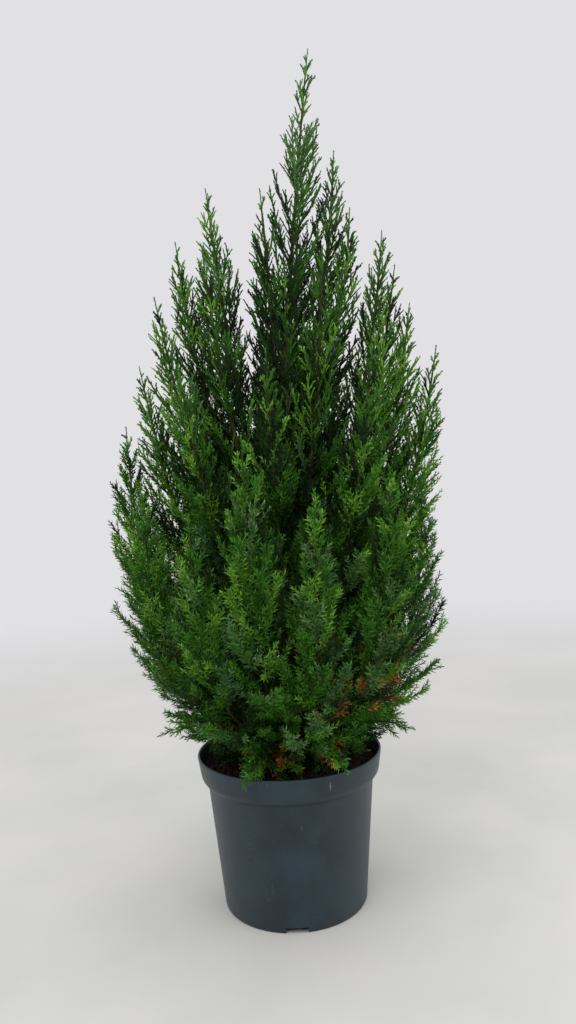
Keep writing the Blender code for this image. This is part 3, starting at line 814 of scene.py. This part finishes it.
def makeSoilTop(mat, rng):
    # rings from the middle out over the top, then down the pot's wall, closed at the bottom
    sides = soil["sides"]
    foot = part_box("soil")[0].z
    turns = [math.tau * s / sides for s in range(sides)]
    verts, faces = [], []
    for k in range(soil["rings"] + 1):
        r = soil["radius"] * k / soil["rings"]
        for a in turns:
            x, y = r * math.cos(a), r * math.sin(a)
            grain = rng.uniform(-soil["grain"], soil["grain"]) * (k > soil["evenRings"])
            verts.append((x, y, soilHeight(x, y) + grain))
    for r, z in [*soil["wallRings"], (soil["footRadius"], foot)]:
        verts += [(r * math.cos(a), r * math.sin(a), z) for a in turns]
    rows = len(verts) // sides
    for k in range(rows - 1):
        for s in range(sides):
            n = (s + 1) % sides
            faces.append((k * sides + s, (k + 1) * sides + s, (k + 1) * sides + n, k * sides + n))
    verts.append((0, 0, foot))
    last = (rows - 1) * sides
    closing = [(last + s, len(verts) - 1, last + (s + 1) % sides) for s in range(sides)]
    quads = np.array(faces)
    tris = np.concatenate([quads[:, [0, 1, 2]], quads[:, [0, 2, 3]], np.array(closing)])
    ground = meshPiece("soil_top", np.array(verts), tris, mat, smooth=True)
    selectOnly(ground)
    bpy.ops.object.mode_set(mode="EDIT")
    bpy.ops.mesh.select_all(action="SELECT")
    bpy.ops.mesh.remove_doubles(threshold=0.00001)
    bpy.ops.mesh.normals_make_consistent(inside=False)
    bpy.ops.object.mode_set(mode="OBJECT")
    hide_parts("soil")
    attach(ground, "root")


def makeCrumbs(mat, rng):
    # crumbs of bark and peat, each a small uneven lump
    clearSelection()
    bpy.ops.mesh.primitive_ico_sphere_add(subdivisions=1, radius=1)
    lump = bpy.context.object
    shape = np.array([v.co for v in lump.data.vertices])
    skin = np.array([p.vertices for p in lump.data.polygons])
    bpy.data.objects.remove(lump)
    parts = []
    for _ in range(soil["crumbs"]):
        r = (soil["radius"] - soil["crumbMargin"]) * math.sqrt(rng.uniform(0.02, 1))
        a = rng.uniform(0, math.tau)
        x, y = r * math.cos(a), r * math.sin(a)
        size = rng.uniform(*soil["crumbSize"])
        uneven = np.array([[rng.uniform(0.6, 1.1)] for _ in shape])
        stretch = np.array([rng.uniform(0.8, 1.9), rng.uniform(0.6, 1.1), rng.uniform(0.4, 0.8)])
        turn = np.array(Matrix.Rotation(rng.uniform(0, math.tau), 3, "Z"))
        centre = [x, y, soilHeight(x, y) + size * soil["crumbRise"]]
        parts.append(((shape * uneven * stretch * size) @ turn + centre, skin))
    crumbs = meshPiece("soil_crumbs", *joined(parts), mat)
    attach(crumbs, "root")


def makeSoil(mat):
    rng = random.Random(21)
    makeSoilTop(mat, rng)
    makeCrumbs(mat, rng)


# studio: pale floor that fades into a pale room, soft light and the camera of the photo

studio = {
    "floorRadius": 30, "floor": ("#cbccc6", "#d6d5d0"), "cloudMm": 300,
    "room": "#ecebee", "world": 0.9, "fade": (0.5, 3.0),
    # lights: place, size in metres and power in watts
    "aim": (0, 0, 0.5),
    "lights": {
        "keyLight": ((-0.6, -1.6, 2.4), 1.6, 22),
        "fillLight": ((1.5, -1.0, 1.5), 1.4, 8),
        "topLight": ((0.1, 0.2, 2.6), 1.6, 12),
    },
    # camera: place in metres, turns in degrees, focal length in pixels of the photo's frame
    "cameraPlace": (0.0151, -1.126, 0.5931), "pitchDown": 1.98, "roll": -2.87,
    "focalPx": 790.58, "frameHeight": 1024, "sensorMm": 36,
}


def floorMaterial():
    # pale board that fades into the pale room with the distance, so that it has no edge
    mat, shader, place = newMaterial("paleFloor", roughness=0.75)
    colour, _ = twoTone(mat, place, studio["cloudMm"], *studio["floor"], 4.0)
    mat.node_tree.links.new(colour, shader.inputs["Base Color"])
    distance = addNode(mat, "ShaderNodeVectorMath", {"operation": "LENGTH"}, {0: place})
    near, far = studio["fade"]
    fade = addNode(mat, "ShaderNodeMapRange", {"interpolation_type": "SMOOTHSTEP"},
                   {"Value": distance.outputs["Value"]}, {"From Min": near, "From Max": far})
    room = addNode(mat, "ShaderNodeEmission",
                   values={"Color": linear(studio["room"]), "Strength": studio["world"]})
    blend = addNode(mat, "ShaderNodeMixShader", links={
        "Fac": fade.outputs["Result"], 1: shader.outputs["BSDF"], 2: room.outputs["Emission"]})
    mat.node_tree.links.new(blend.outputs["Shader"], mat.node_tree.nodes["Material Output"].inputs["Surface"])
    return mat


def makeFloor():
    clearSelection()
    bpy.ops.mesh.primitive_circle_add(vertices=64, radius=studio["floorRadius"], fill_type="NGON")
    floor = bpy.context.object
    floor.name = "floor"
    floor.data.materials.append(floorMaterial())


def makeLight():
    world = bpy.data.worlds.new("softRoom")
    scene.world = world
    world.use_nodes = True
    sky = world.node_tree.nodes["Background"]
    sky.inputs["Color"].default_value = linear(studio["room"])
    sky.inputs["Strength"].default_value = studio["world"]
    for name, (place, size, power) in studio["lights"].items():
        light = bpy.data.lights.new(name, "AREA")
        light.size = size
        light.energy = power
        ob = bpy.data.objects.new(name, light)
        scene.collection.objects.link(ob)
        ob.location = place
        ob.rotation_euler = (Vector(studio["aim"]) - Vector(place)).to_track_quat("-Z", "Y").to_euler()


def makeCamera():
    cameraData = bpy.data.cameras.new("photoCamera")
    cameraData.sensor_fit = "VERTICAL"
    cameraData.sensor_height = studio["sensorMm"]
    cameraData.lens = studio["focalPx"] / studio["frameHeight"] * studio["sensorMm"]
    camera = bpy.data.objects.new("photoCamera", cameraData)
    scene.collection.objects.link(camera)
    camera.matrix_world = (Matrix.Translation(studio["cameraPlace"])
                           @ Matrix.Rotation(math.radians(90 - studio["pitchDown"]), 4, "X")
                           @ Matrix.Rotation(math.radians(studio["roll"]), 4, "Z"))
    scene.camera = camera


makeFloor()
makeLight()
makeCamera()
print("studio done")
makePot(potMaterial())
makeSoil(soilMaterial())
print("pot and soil done")
plumes = allPlumes()
makeLimbs(plumes, barkMaterial("juniperBark", bark["old"]))
makeFoliage(plumes, barkMaterial("greenTwig", bark["young"]))
print("plant done")
